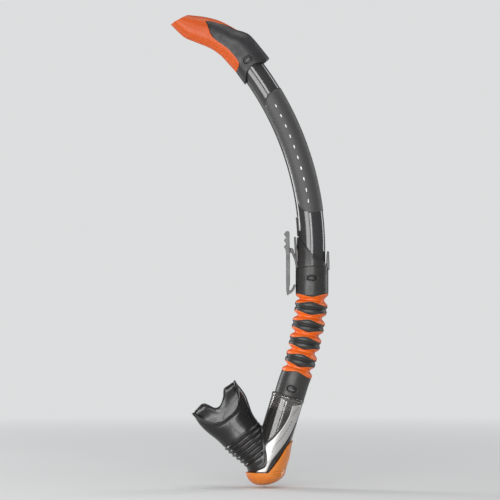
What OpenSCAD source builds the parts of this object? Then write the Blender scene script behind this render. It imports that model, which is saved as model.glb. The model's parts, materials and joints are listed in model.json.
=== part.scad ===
// Semi-dry snorkel: splash-guarded barrel, quick-release strap keeper, corrugated
// flex hose, drain chamber with purge valve, and a bite mouthpiece.
// Millimetres. +Z up, the mouthpiece lies towards -X, and the part is symmetric about y = 0.
// The origin is the centre of the strap pad on the keeper lever.

/* [Barrel] */
// Outer radius of the rigid barrel
barrel_r = 12.9; // [12.5:0.1:13.2]
// Wall thickness of the barrel
barrel_wall = 1.6; // [1.2:0.1:2.4]
// Bend radius of the barrel's centre line
arc_r = 285; // [250:1:330]
// Angle that the barrel's bend sweeps
barrel_sweep = 40; // [37:0.5:42]
// Distance from the strap pad to the straight barrel's axis
barrel_x = 21; // [20.8:0.1:22]
// Height where the straight part ends and the bend starts
bend_start_z = 20.4; // [18:0.1:24]

/* [Cuffs and hose] */
// Outer radius of the cuffs and of the keeper sleeve
cuff_r = 15.6; // [15.4:0.1:16]
// Crest radius of the corrugated hose
crest_r = 15.5; // [15:0.1:16]
// Radius at the bottom of a deep groove
groove_r = 11.6; // [11.2:0.1:12.5]
// Bore radius of the hose
hose_bore_r = 9.6; // [8.5:0.1:10.2]
// Distance between two deep grooves
pitch = 16.5; // [16:0.1:17]
// Lean of the drain chamber from the straight barrel, shared out over the grooves
hose_lean = 17; // [14:0.5:20]

/* [Drain chamber] */
// Outer radius of the chamber tube
chamber_r = 16.2; // [15.8:0.1:17]
// Wall thickness of the chamber
chamber_wall = 1.7; // [1.4:0.1:2.5]
// Height of the chamber's flat lower rim
rim_z = -191.4; // [-193:0.1:-189]
// Lean of the mouthpiece port from the vertical
port_lean = 38; // [34:0.5:42]

/* [Keeper] */
// Width of the keeper lever over its hinge ears
lever_w = 15; // [12:0.5:18]
// Thickness of the keeper lever
lever_t = 3.2; // [2.8:0.1:4]
// Radius of the keeper's hinge pin
pin_r = 1.0; // [0.8:0.05:1.2]

/* [Hidden] */
$fn = 64;

// Colours
grey = "#4b4a4a";
dark = "#3a3939";
smoke = "#2c2a29";
orange = "#e0672c";
amber = "#e2812f";
silver = "#cfcdcb";

// Bend at rest of each groove, from the top
rest_bend = hose_lean / 17 * [7.5, 2.5, 2, 3, 2];

// Clearances
fit_gap = 0.05;    // between a sleeve and what it is pressed on
part_gap = 0.15;   // between two mouldings that only meet

// Points round an elliptical section, and round a section of a lofted skin
oval_points = 56;
ring_points = 40;

// ---------------------------------------------------------------- frames

arc_x = barrel_x - arc_r;      // centre of the barrel's bend
guard_angle = 38;              // bend angle at which the splash guard's frame stands

function tilt(k) = k == 0 ? 0 : rest_bend[k - 1] + tilt(k - 1);
first_groove_z = -27.4;
function groove(k) =
    k == 1 ? [barrel_x, 0, first_groove_z]
           : groove(k - 1) - pitch * [sin(tilt(k - 1)), 0, cos(tilt(k - 1))];

// Frame on the barrel's bend: +Z along the barrel, +X away from the bend's centre
module on_bend(angle) {
    translate([arc_x, 0, bend_start_z]) rotate([0, -angle, 0]) translate([arc_r, 0, 0]) children();
}

// Frame at groove k, its +Z along the hose below that groove
module at_groove(k, lean) {
    translate(groove(k)) rotate([0, lean, 0]) children();
}

hose_tilt = tilt(5);
chamber_top = -28.5;           // chamber's top edge, in the frame of groove 5
chamber_shift = -0.6;          // chamber's axis beside the hose's axis

// Frame of the drain chamber, +Z up its axis, origin at its top edge
module in_chamber() {
    at_groove(5, hose_tilt) translate([chamber_shift, 0, chamber_top]) children();
}

port_foot = [-20.5, 0, -186.7];   // where the port's axis meets the chamber's axis

// Frame of the mouthpiece port, +Z out towards the mouth
module in_port() {
    translate(port_foot) rotate([0, -port_lean, 0]) children();
}

// ---------------------------------------------------------------- helpers

function bezier(p, t) =
    pow(1 - t, 3) * p[0] + 3 * t * pow(1 - t, 2) * p[1]
    + 3 * t * t * (1 - t) * p[2] + pow(t, 3) * p[3];

// Closed skin over a list of rings that all have the same number of points.
// With closed_loop the last ring joins the first, which makes a hollow shell.
module loft(rings, closed_loop = false) {
    n = len(rings[0]);
    m = len(rings);
    last = closed_loop ? m - 1 : m - 2;
    sides = [for (i = [0 : last], j = [0 : n - 1], half = [0, 1])
        let (a = i * n + j, b = i * n + (j + 1) % n,
             c = ((i + 1) % m) * n + j, d = ((i + 1) % m) * n + (j + 1) % n)
        half == 0 ? [a, c, b] : [b, c, d]];
    caps = closed_loop ? [] : concat(
        [for (j = [1 : n - 2]) [0, j, j + 1]],
        [for (j = [1 : n - 2]) [(m - 1) * n, (m - 1) * n + j + 1, (m - 1) * n + j]]);
    polyhedron(points = [for (r = rings, p = r) p], faces = concat(sides, caps));
}

// Block with a round-ended [length, height] outline that reaches as far to the front as to the back
module side_stadium(size, reach) {
    straight = size[0] - size[1];
    rotate([90, 0, 0]) translate([0, 0, -reach]) linear_extrude(2 * reach) {
        square([straight, size[1]], center = true);
        for (side = [-1, 1]) translate([side * straight / 2, 0]) circle(d = size[1]);
    }
}

module ring(r_out, r_in, z0, z1) {
    translate([0, 0, z0]) difference() {
        cylinder(r = r_out, h = z1 - z0);
        translate([0, 0, -1]) cylinder(r = r_in, h = z1 - z0 + 2);
    }
}

module elliptic(rx, ry, z0, z1) {
    translate([0, 0, z0]) linear_extrude(z1 - z0)
        polygon([for (j = [0 : oval_points - 1]) let (a = 360 * j / oval_points) [rx * cos(a), ry * sin(a)]]);
}

// ---------------------------------------------------------------- barrel

barrel_end_z = -16;            // lower end of the barrel, inside the upper cuff
lug_z = -7;                    // height of the upper cuff's locking lugs
cuff_lug = [7.6, 2.8];         // length and height of those lugs
cuff_window = [11.4, 5.2];     // and of their windows in the cuff
guard_lug_at = [1.7, 3.3];     // place of the splash guard's lugs, in the guard's frame
guard_lug_lean = 8;
guard_lug_y = 14.6;
guard_lug = [7, 2.8];
guard_window = [9.4, 5];
through = 20;                  // far enough to cut through any tube on the barrel's axis

module guard_lug_frame() {
    translate([guard_lug_at[0], 0, guard_lug_at[1]]) rotate([0, -guard_lug_lean, 0]) children();
}

// Solid rod along the barrel's centre line, longer by over_end degrees above and over_foot below
module bent_rod(r, over_end, over_foot) {
    translate([arc_x, 0, bend_start_z]) rotate([90, 0, 0])
        rotate_extrude(angle = barrel_sweep + over_end) translate([arc_r, 0]) circle(r = r);
    translate([barrel_x, 0, barrel_end_z - over_foot])
        cylinder(r = r, h = bend_start_z - barrel_end_z + over_foot);
}

module barrel() {
    color(grey) difference() {
        union() {
            bent_rod(barrel_r, 0, 0);
            translate([barrel_x, 0, lug_z]) side_stadium(cuff_lug, cuff_r - 0.5);
            on_bend(guard_angle) guard_lug_frame() side_stadium(guard_lug, guard_lug_y);
            guide_rib();
        }
        union() bent_rod(barrel_r - barrel_wall, 1, 1);
    }
}

// Rib on the inside of the bend that keys the keeper's long tongue
rib_from = 2.6;
rib_sweep = 4;
rib_half_w = 4;
rib_lift = 1.1;
module guide_rib() {
    translate([arc_x, 0, bend_start_z]) rotate([90, 0, 0]) rotate([0, 0, rib_from])
        rotate_extrude(angle = rib_sweep)
            translate([arc_r - barrel_r - rib_lift, -rib_half_w]) square([2 * rib_lift, 2 * rib_half_w]);
}

// ---------------------------------------------------------------- splash guard

// Profile of the hood in the guard's frame, as [x, z]: back line and belly line
hood_back = [[12.9, 10.8], [15.2, 30], [4.8, 56.6], [-16.2, 73]];
hood_belly = [[-12.9, 9.9], [-14.6, 31.6], [-37.4, 54.6], [-35.3, 75.8]];
hood_steps = 14;

function hood_half_depth(t) = 12.9 + 1.2 * sin(180 * min(1, 1.4 * t)) - 2.6 * t * t;

// One section of the hood at t, drawn inwards by inset
function hood_ring(t, inset) =
    let (back = bezier(hood_back, t), belly = bezier(hood_belly, t),
         mid = (back + belly) / 2, half = (back - belly) / 2,
         reach = 1 - inset / norm(half))
    [for (j = [0 : ring_points - 1])
        let (a = 360 * j / ring_points, p = mid + half * reach * cos(a))
        [p[0], (hood_half_depth(t) - inset) * sin(a), p[1]]];

hood_wall = 1.8;
module splash_hood() {
    color(orange) on_bend(guard_angle) loft(concat(
        [for (i = [0 : hood_steps]) hood_ring(i / hood_steps, 0)],
        [for (i = [hood_steps : -1 : 0]) hood_ring(i / hood_steps, hood_wall)]), true);
}

collar_back = 4.6;             // how far the collar's back stands off the barrel
collar_wall = 0.8;
collar_foot = [-4, 9.4, 4];    // lower edge at the sides, and how much lower it is at belly and back

// One section of the collar that follows the barrel's bend: edge as in collar_foot, radius r at
// the belly and r + bulge at the back
function collar_ring(edge, r, bulge) =
    [for (j = [0 : ring_points - 1])
        let (a = 360 * j / ring_points, c = cos(a), rad = r + bulge * pow((1 + c) / 2, 2),
             z = edge[0] - edge[1] * pow(max(0, -c), 1.5) - edge[2] * pow(max(0, c), 2))
        [rad * c - z * z / (2 * arc_r), rad * sin(a), z]];

// The collar wraps the barrel's end and the hood's foot. Its back stands off the barrel as a drain slot
module hood_collar() {
    foot_r = barrel_r + 1.9;
    outer_r = barrel_r + 1.5;
    slot_r = barrel_r + 3 * fit_gap;
    color(dark) on_bend(guard_angle) difference() {
        loft(concat(
            [collar_ring(collar_foot, foot_r, collar_back),
             collar_ring(collar_foot / 3, outer_r + 0.2, collar_back),
             collar_ring([6, 0, 0], outer_r, collar_back),
             collar_ring([17, 0, -2.5], outer_r, collar_back + 0.2),
             collar_ring([20.5, 0, -3], outer_r, collar_back - 0.4)],
            [for (t = [0.26, 0.3, 0.34]) hood_ring(t, -1.2 + 8 * (t - 0.26))],
            [for (t = [0.34, 0.26, 0.18, 0.08]) hood_ring(t, -part_gap)],
            [collar_ring([9.6, 0, 0], slot_r + 0.3, 0.3),
             collar_ring([6, 0, 0], slot_r, collar_back - collar_wall),
             collar_ring(collar_foot / 3, slot_r, collar_back - collar_wall),
             collar_ring(collar_foot, slot_r, collar_back - collar_wall)]), true);
        guard_lug_frame() side_stadium(guard_window, through);
    }
}

// Inner vanes that turn splashes back out of the hood, joined by an upright web
vanes = [[-6, 34, 40], [-14, 46, 28], [-20, 58, 18]];   // [x, z, slope] of each
vane_reach = 10;
vane_t = 1.4;
module splash_baffle() {
    color(dark) on_bend(guard_angle) intersection() {
        loft([for (i = [3 : hood_steps - 1]) hood_ring(i / hood_steps, hood_wall + part_gap)]);
        union() {
            for (v = vanes) translate([v[0], -through, v[1]]) rotate([0, v[2], 0])
                translate([1 - vane_reach, 0, 0]) cube([vane_reach, 2 * through, vane_t]);
            translate([-30, -vane_t / 2, 20]) cube([60, vane_t, 46]);
        }
    }
}

// ---------------------------------------------------------------- keeper

wave_r = 39.5;                 // radius of the saddle where the cuff and the keeper sleeve meet
wave_z = 1;                    // lowest point of that saddle
hinge_x = 1.7;
hinge_z = 19.2;
ear_t = 2.4;                   // thickness of a hinge ear
knuckle_r = 1.9;               // radius of the hinge ears and of the lever's knuckle
tongue_top = 32;               // height of the sleeve's long tongue
tongue_foot = 3;
tongue_half_w = 6.5;
tongue_t = 1.6;
tongue_lean = 3.2;
tab_half_w = 5;                // the short finger on the far side
tab_t = 2.2;
tab_len = 15.5;
edge_z = 17;                   // height of the sleeve's slanting upper edge on the barrel's axis
edge_slope = 40;

module wave_cutter(r) {
    translate([barrel_x - 30, 0, wave_z + wave_r]) rotate([0, 90, 0]) cylinder(r = r, h = 60, $fn = 128);
}

module keeper_sleeve() {
    color(dark) difference() {
        union() {
            intersection() {
                translate([barrel_x, 0, 0]) cylinder(r = cuff_r, h = 40);
                wave_cutter(wave_r - part_gap);
                // high on the strap side, low on the far side
                translate([barrel_x, 0, edge_z]) rotate([0, edge_slope, 0])
                    translate([-40, -through, -60]) cube([80, 2 * through, 60]);
            }
            keeper_tongue();
            far_tab();
            for (side = [-1, 1]) translate([0, side * (lever_w / 2 - ear_t / 2), 0]) hinge_ear();
        }
        union() bent_rod(barrel_r + fit_gap, 0, 0);
        translate([hinge_x, -lever_w, hinge_z]) rotate([-90, 0, 0]) cylinder(r = pin_r, h = 2 * lever_w);
    }
}

// Tongue of the sleeve between its hinge ears, leaning a little off the barrel
module keeper_tongue() {
    translate([barrel_x - cuff_r - 0.1, -tongue_half_w, tongue_foot]) rotate([0, -tongue_lean, 0])
        cube([tongue_t, 2 * tongue_half_w, tongue_top - tongue_foot]);
}

// Short finger on the far side, clear of the barrel
module far_tab() {
    translate([barrel_x + cuff_r + 0.5 - tab_t, -tab_half_w, tongue_foot])
        cube([tab_t, 2 * tab_half_w, tab_len]);
}

// The ear leaves room for the strap below its rounded end
module hinge_ear() {
    rotate([90, 0, 0]) translate([0, 0, -ear_t / 2]) linear_extrude(ear_t) {
        translate([hinge_x, hinge_z]) circle(r = knuckle_r);
        polygon([[hinge_x + 0.2, hinge_z + knuckle_r], [hinge_x + knuckle_r, hinge_z], [7.2, 11], [7.2, 3.2],
                 [6, 3.2], [5, pad_half], [hinge_x - 0.1, hinge_z - knuckle_r]]);
    }
}

lever_top = 37.6;
lever_foot = -23.4;
pad_half = 13;                 // half the strap pad's height
knuckle_w = lever_w - 2 * ear_t - 0.4;

module keeper_lever() {
    color(grey) difference() {
        union() {
            lever_plate();
            translate([-1, -lever_w / 2 + 1, -pad_half]) cube([1, lever_w - 2, 2 * pad_half]);
            thumb_teeth();
            hook();
            // hinge knuckle, between the ears
            translate([0, 0, hinge_z]) {
                translate([hinge_x, -knuckle_w / 2, 0]) rotate([-90, 0, 0])
                    cylinder(r = knuckle_r, h = knuckle_w);
                translate([-1, -knuckle_w / 2, -knuckle_r]) cube([hinge_x + 1, knuckle_w, 2 * knuckle_r]);
            }
        }
        translate([hinge_x, -lever_w, hinge_z]) rotate([-90, 0, 0])
            cylinder(r = pin_r + fit_gap, h = 2 * lever_w);
    }
}

module lever_plate() {
    rotate([90, 0, 0]) translate([0, 0, -lever_w / 2]) linear_extrude(lever_w)
        polygon([
            [-0.3, lever_foot + 4], [-0.9, lever_foot], [-3, lever_foot], [-lever_t - 0.3, lever_foot + 5],
            [-lever_t - 0.3, lever_top - 3], [-2, lever_top], [-0.9, lever_top], [-0.3, lever_top - 2]]);
}

// Three thumb ridges on the lever's outer face
tooth_z = [34.2, 28.2, 22];
tooth_x = -5.6;
module thumb_teeth() {
    for (z = tooth_z)
        rotate([90, 0, 0]) translate([0, 0, -lever_w / 2]) linear_extrude(lever_w)
            polygon([[-lever_t, z + 2.6], [tooth_x, z + 0.7], [tooth_x, z - 0.3], [-lever_t, z - 3]]);
}

// Hook that closes the strap's slot from below
module hook() {
    rotate([90, 0, 0]) translate([0, 0, -lever_w / 2]) linear_extrude(lever_w)
        polygon([[-1, -19.6], [1.4, -18.6], [3, -16.6], [4.1, -13.4], [5.2, -13.2], [4.9, -15.6],
                 [3.8, -18.2], [2.2, -20.2], [0, -21.4], [-1.2, -22.2]]);
}

module keeper_pin() {
    color(silver) translate([hinge_x, -lever_w / 2 + 0.1, hinge_z]) rotate([-90, 0, 0])
        cylinder(r = pin_r, h = lever_w - 0.2);
}

// ---------------------------------------------------------------- hose

cuff_foot = -21.8;             // lower end of the upper cuff's plain sleeve
web_half_side = 5.2;           // half the web's height at its sides
web_half_front = 3.0;          // half the web's height at front and back
saddle_r = crest_r * crest_r / (2 * (web_half_side - web_half_front));
notch_r = crest_r - 0.7;       // radius of the shallow groove in the middle of a ring
crest_at = 3.9;                // crest's distance from its deep groove

// Edge of one groove's side, from the deep groove to the middle of the next ring, or back.
// dir is 1 above the groove and -1 below it
function groove_edge(dir, length, backwards) =
    let (pts = [[groove_r, 0.35 * dir], [crest_r - 0.5, (crest_at - 0.7) * dir], [crest_r, crest_at * dir],
                [crest_r, (crest_at + 0.9) * dir], [notch_r, length * dir]],
         n = len(pts))
    [for (i = [0 : n - 1]) pts[backwards ? n - 1 - i : i]];

module corrugation(dir, length) {
    rotate_extrude() polygon(concat([[hose_bore_r, 0], [groove_r, 0]], groove_edge(dir, length, false),
                                    [[hose_bore_r, length * dir]]));
}

// Everything nearer to the groove than the wavy edge between web and ring
module web_zone(dir) {
    translate([-30, 0, dir * (web_half_side - saddle_r)]) rotate([0, 90, 0])
        cylinder(r = saddle_r, h = 60, $fn = 128);
}

// Each wavy edge stands in the frame of the ring or cuff that it meets
module flex_web(k) {
    color(orange) intersection() {
        at_groove(k, (tilt(k) + tilt(k - 1)) / 2) rotate_extrude()
            polygon(concat([[hose_bore_r, -pitch / 2]], groove_edge(-1, pitch / 2, true),
                           groove_edge(1, pitch / 2, false), [[hose_bore_r, pitch / 2]]));
        at_groove(k, tilt(k - 1)) web_zone(1);
        at_groove(k, tilt(k)) web_zone(-1);
    }
}

module flex_ring(k) {
    color(grey) at_groove(k, tilt(k)) difference() {
        union() {
            corrugation(-1, pitch / 2);
            translate([0, 0, -pitch]) corrugation(1, pitch / 2);
        }
        web_zone(-1);
        translate([0, 0, -pitch]) web_zone(1);
        ring(40, 0, -1.2, 2);
    }
}

module upper_cuff() {
    color(grey) difference() {
        union() {
            translate([barrel_x, 0, 0]) ring(cuff_r, barrel_r + fit_gap, barrel_end_z - 0.5, 12);
            at_groove(1, 0) {
                ring(cuff_r, hose_bore_r, -first_groove_z + cuff_foot, -first_groove_z + barrel_end_z - 0.4);
                difference() {
                    corrugation(1, crest_at + 1.8);
                    web_zone(1);
                }
            }
        }
        wave_cutter(wave_r);
        translate([barrel_x, 0, lug_z]) side_stadium(cuff_window, through);
    }
}

plug_foot = chamber_top - 14;  // lower end of the cuff's plug, inside the chamber
plug_r = 13;
plug_ribs = [3.4, 6.8, 10.2];  // depths of the plug's ribs below the chamber's top
key_window = [9.6, 5];         // length and height of the lock window
key_window_z = 7.6;            // its height above the chamber's top
window_depth = 1.2;

module lower_cuff() {
    color(grey) at_groove(5, hose_tilt) difference() {
        union() {
            difference() {
                corrugation(-1, crest_at + 1.8);
                web_zone(-1);
            }
            ring(cuff_r - 0.3, hose_bore_r, chamber_top, -crest_at - 1.7);
            ring(plug_r, hose_bore_r, plug_foot, chamber_top + 0.5);
            for (z = plug_ribs) ring(plug_r + 0.2, hose_bore_r, chamber_top - z - 0.6, chamber_top - z + 0.6);
        }
        for (side = [-1, 1]) translate([0, side * (cuff_r - 0.3), chamber_top + key_window_z])
            side_stadium(key_window, window_depth);
    }
}

// ---------------------------------------------------------------- drain chamber

port_rx = 15.6;                // half width of the port's spigot
port_ry = 14.2;                // half depth of the port's spigot
chamber_len = 90;
seam_height = 23.5;            // where the chamber's skin crosses the port's axis, in the port's frame
seam_slope = 31;
spigot_reach = 7;              // how far the spigot stands out of the chamber
collar_reach = 4;              // how far the mouthpiece's collar stands out of it

// Keeps what lies above the flat rim
module above_rim(extra = 0) {
    translate([-80, -40, rim_z - extra]) cube([160, 80, 200]);
}

// Slab below the slanting plane of the chamber's skin, raised by up
module seam_side(up) {
    translate([0, 0, seam_height + up]) rotate([0, -seam_slope, 0]) translate([-60, -30, -80])
        cube([120, 60, 80]);
}

module drain_chamber() {
    color(smoke) difference() {
        intersection() {
            union() {
                in_chamber() translate([0, 0, -chamber_len]) cylinder(r = chamber_r, h = chamber_len);
                in_port() intersection() {
                    elliptic(port_rx, port_ry, 0, 45);
                    seam_side(spigot_reach);
                }
            }
            above_rim();
        }
        in_chamber() translate([0, 0, -chamber_len - 1])
            cylinder(r = chamber_r - chamber_wall, h = chamber_len + 2);
        in_port() elliptic(port_rx - chamber_wall, port_ry - chamber_wall, 2, 50);
    }
}

// Outline of the silver inlay in the side view: corners of one closed sweep
module trim_outline() {
    upper = [[2.6, -127.6], [-4, -150], [-24, -160], [-25.4, -171]];
    lower = [[-32, -190.6], [-22.5, -190.6], [-8, -172], [4, -146], [10.4, -127.6]];
    steps = 12;
    polygon(concat([for (i = [0 : steps]) bezier(upper, i / steps)],
                   [lower[0]],
                   [for (i = [0 : steps]) bezier([lower[1], lower[2], lower[3], lower[4]], i / steps)]));
}

trim_lift = 0.7;
module chamber_trim() {
    color(silver) difference() {
        intersection() {
            in_chamber() ring(chamber_r + trim_lift, chamber_r + fit_gap, -82, -6);
            union() for (side = [0, 1]) mirror([0, side, 0])
                translate([0, 30, 0]) rotate([90, 0, 0]) linear_extrude(26) trim_outline();
        }
        // room for the mouthpiece's collar and for the spigot in it
        in_port() neck(part_gap, 0);
        in_port() elliptic(port_rx + part_gap, port_ry + part_gap, 0, neck_foot + 1);
    }
}

// ---------------------------------------------------------------- purge

cover_x = -23.3;
cover_r = 18.8;
cover_depth = 12.6;

// Shallow bowl below the rim, drawn inwards by inset
module bowl(inset) {
    steps = 8;
    translate([cover_x, 0, rim_z - part_gap]) rotate_extrude()
        polygon(concat([[0, 0]], [for (i = [0 : steps]) let (a = 90 * i / steps)
            [(cover_r - inset) * cos(a), -(cover_depth - inset) * pow(sin(a), 0.8)]]));
}

// Side of the slanting line that bounds the cover's shield
module shield_side() {
    translate([-20.4, -40, rim_z]) rotate([0, 38.5, 0]) cube([60, 80, 120]);
}

module purge_cover() {
    color(amber) difference() {
        union() {
            difference() {
                bowl(0);
                bowl(1.7);
            }
            intersection() {
                in_chamber() ring(chamber_r + 1.1, chamber_r + fit_gap, -80, -20);
                shield_side();
                translate([-80, -40, rim_z - part_gap]) cube([160, 80, 60]);
            }
        }
        // exhaust slots at the back and below
        for (i = [-1 : 1]) translate([cover_x + 8, i * 7 - 1.2, rim_z - 9]) rotate([0, 38, 0])
            cube([12, 2.4, 10]);
        for (i = [-1 : 1]) translate([cover_x - 8, i * 6 - 1, rim_z - 20]) cube([11, 2, 12]);
    }
}

valve_x = cover_x + 0.5;       // axis of the valve and its seat
seat_r = 13.8;
seat_t = 2;
hub_r = 3.4;
hub_h = 5;
valve_r = 11;
valve_t = 1.15;
stem_r = 1.5;
valve_travel = 1.2;

// Disc with a hub for the valve's stem and a ring of holes for the water
module valve_seat() {
    color(dark) translate([valve_x, 0, rim_z]) difference() {
        union() {
            cylinder(r = seat_r, h = seat_t);
            cylinder(r = hub_r, h = hub_h);
        }
        for (a = [0 : 60 : 300]) rotate([0, 0, a + 30]) translate([seat_r / 2, 0, -1])
            cylinder(r = 2.9, h = 2 * hub_h);
        translate([0, 0, -1]) cylinder(r = stem_r + fit_gap, h = 2 * hub_h);
    }
}

// Flap below the seat, on a stem whose head stands above the hub by the flap's travel
module purge_valve() {
    color(smoke) translate([valve_x, 0, rim_z]) {
        translate([0, 0, -fit_gap - valve_t]) cylinder(r = valve_r, h = valve_t);
        translate([0, 0, -0.5]) cylinder(r = stem_r, h = hub_h + valve_travel + 0.8);
        translate([0, 0, hub_h + valve_travel + fit_gap]) cylinder(r1 = 2.3, r2 = 1.3, h = 2.6);
    }
}

// ---------------------------------------------------------------- mouthpiece

neck_foot = 10;
neck_top = 41;
neck_steps = 26;
rib_pitch = 4.8;
rib_height = 0.45;

function rise(t) = t * t * (3 - 2 * t);

// Section of the neck at height z in the port's frame: wider towards the mouth, most of all below
function neck_ring(z, grow) =
    let (t = rise((z - neck_foot) / (neck_top - neck_foot)),
         left = 16.4 + 5.1 * t + grow, right = 17.4 + 1.5 * t + grow, deep = 15.2 + 0.6 * t + grow)
    [for (j = [0 : ring_points - 1])
        let (a = 360 * j / ring_points)
        [(right - left) / 2 + (right + left) / 2 * cos(a), deep * sin(a), z]];

module neck(grow, rib) {
    loft([for (i = [0 : neck_steps])
        let (z = neck_foot + (neck_top - neck_foot) * i / neck_steps)
        neck_ring(z, grow + rib * cos(360 * (z - 1.2) / rib_pitch))]);
}

module port_bore() {
    elliptic(port_rx + fit_gap, port_ry + fit_gap, 0, 61);
}

module mouthpiece_collar() {
    color(dark) difference() {
        intersection() {
            in_port() difference() {
                intersection() {
                    neck(0, 0);
                    seam_side(collar_reach);
                }
                port_bore();
            }
            above_rim(-0.3);
        }
        in_chamber() translate([0, 0, -chamber_len]) cylinder(r = chamber_r + fit_gap, h = chamber_len);
    }
}

module mouthpiece_bellows() {
    color(smoke) in_port() difference() {
        neck(-0.3, rib_height);
        port_bore();
        seam_side(collar_reach + part_gap);
    }
}

// Sections of the mouthpiece in the port's frame:
// [height, left, right, half depth, how far front and back fall behind the ends]
sections = [[41.05, -21.5, 18.9, 15.8, 0], [48, -22.3, 19.3, 15.4, 0.5], [55, -23.5, 21, 15.2, 2],
            [62, -25.4, 23.7, 15, 6], [70, -26.5, 25.2, 14.8, 12], [77, -26.5, 25.4, 14.6, 17.5],
            [84.5, -25.4, 24.9, 14.4, 23]];

function mouth_ring(s, inset) =
    let (mid = (s[1] + s[2]) / 2, half = (s[2] - s[1]) / 2 - inset)
    [for (j = [0 : ring_points - 1])
        let (a = 360 * j / ring_points)
        [mid + half * cos(a), (s[3] - inset) * sin(a), s[0] - s[4] * pow(sin(a), 2)]];

module mouthpiece() {
    wall = 2;
    n = len(sections);
    color(smoke) in_port() {
        loft(concat([for (s = sections) mouth_ring(s, 0)],
                    [for (i = [n - 1 : -1 : 0]) mouth_ring(sections[i], wall)]), true);
        translate([-1, 0, 0]) bite_plate();
    }
}

// Bite wings joined by a bridge, with a tongue notch between them
bite_t = 5.2;
module bite_plate() {
    rotate([90, 0, 0]) translate([0, 0, -bite_t / 2]) linear_extrude(bite_t)
        polygon([[-24.8, 70], [-25, 84], [-17, 85.6], [-11, 85.4], [-8.3, 83], [-6.2, 78.6], [-3.4, 75.6],
                 [0, 74.8], [3.4, 75.6], [6.4, 78.6], [9, 83], [12, 85.4], [17, 85.6], [25, 84], [24.8, 70],
                 [12, 61], [0, 57], [-12, 61]]);
}

// ---------------------------------------------------------------- nodes

barrel();
splash_hood();
hood_collar();
splash_baffle();
keeper_sleeve();
keeper_lever();
keeper_pin();
upper_cuff();
flex_ring(1);  // flex_ring_1
flex_ring(2);  // flex_ring_2
flex_ring(3);  // flex_ring_3
flex_ring(4);  // flex_ring_4
flex_web(1);  // flex_web_1
flex_web(2);  // flex_web_2
flex_web(3);  // flex_web_3
flex_web(4);  // flex_web_4
flex_web(5);  // flex_web_5
lower_cuff();
drain_chamber();
chamber_trim();
purge_cover();
valve_seat();
purge_valve();
mouthpiece_collar();
mouthpiece_bellows();
mouthpiece();
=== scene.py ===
import json
import math

import bmesh
import bpy
import numpy as np
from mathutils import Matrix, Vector


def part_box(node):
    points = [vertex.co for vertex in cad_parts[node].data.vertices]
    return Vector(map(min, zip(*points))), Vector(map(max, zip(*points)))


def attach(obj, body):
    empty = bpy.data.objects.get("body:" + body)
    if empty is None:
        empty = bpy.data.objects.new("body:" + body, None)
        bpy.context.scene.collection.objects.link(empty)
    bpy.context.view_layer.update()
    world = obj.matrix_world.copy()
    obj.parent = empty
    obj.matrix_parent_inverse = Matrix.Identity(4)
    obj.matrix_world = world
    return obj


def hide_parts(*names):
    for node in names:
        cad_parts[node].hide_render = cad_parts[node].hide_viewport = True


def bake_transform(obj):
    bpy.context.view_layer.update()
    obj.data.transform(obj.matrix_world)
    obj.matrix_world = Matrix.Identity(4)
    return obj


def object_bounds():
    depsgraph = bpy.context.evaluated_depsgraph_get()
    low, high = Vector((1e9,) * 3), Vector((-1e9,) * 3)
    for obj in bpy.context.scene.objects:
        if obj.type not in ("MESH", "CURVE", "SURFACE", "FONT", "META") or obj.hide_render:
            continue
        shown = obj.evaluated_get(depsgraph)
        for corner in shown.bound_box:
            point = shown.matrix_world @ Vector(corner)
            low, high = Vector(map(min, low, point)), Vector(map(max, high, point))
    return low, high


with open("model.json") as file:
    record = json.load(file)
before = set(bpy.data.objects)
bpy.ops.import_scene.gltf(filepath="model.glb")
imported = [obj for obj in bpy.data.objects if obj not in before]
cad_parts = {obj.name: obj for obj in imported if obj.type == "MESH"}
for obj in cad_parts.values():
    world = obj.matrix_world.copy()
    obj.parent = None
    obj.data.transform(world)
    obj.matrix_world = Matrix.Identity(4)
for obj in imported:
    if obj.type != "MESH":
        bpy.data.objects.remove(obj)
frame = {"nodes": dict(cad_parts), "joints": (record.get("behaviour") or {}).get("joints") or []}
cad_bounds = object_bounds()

MM = 0.001
joints = {joint["name"]: joint for joint in frame["joints"]}


# ---- small tools

def mm(point):
    """A frame point in metres as a numpy point in millimetres."""
    return np.array(point, float) / MM


def smooth(edge_a, edge_b, value):
    """0 at edge_a, 1 at edge_b, with a soft start and end."""
    t = np.clip((np.asarray(value, float) - edge_a) / (edge_b - edge_a), 0, 1)
    return t * t * (3 - 2 * t)


def along(knots, t):
    """Smooth curve through the knots; t runs from 0 at the first to 1 at the last."""
    knots = np.asarray(knots, float)
    last = len(knots) - 1
    place = np.clip(np.asarray(t, float), 0, 1) * last
    i = np.minimum(place.astype(int), last - 1)
    f = (place - i)[..., None]
    before, a, b, after = (knots[np.clip(i + k, 0, last)] for k in (-1, 0, 1, 2))
    return 0.5 * (2 * a + (b - before) * f + (2 * before - 5 * a + 4 * b - after) * f ** 2
                  + (3 * a - before - 3 * b + after) * f ** 3)


def oval(angle, power=2.0):
    """Cosine and sine of an angle, squared off as power goes above 2."""
    c, s = np.cos(angle), np.sin(angle)
    squeeze = 2 / power
    return np.sign(c) * np.abs(c) ** squeeze, np.sign(s) * np.abs(s) ** squeeze


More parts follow.
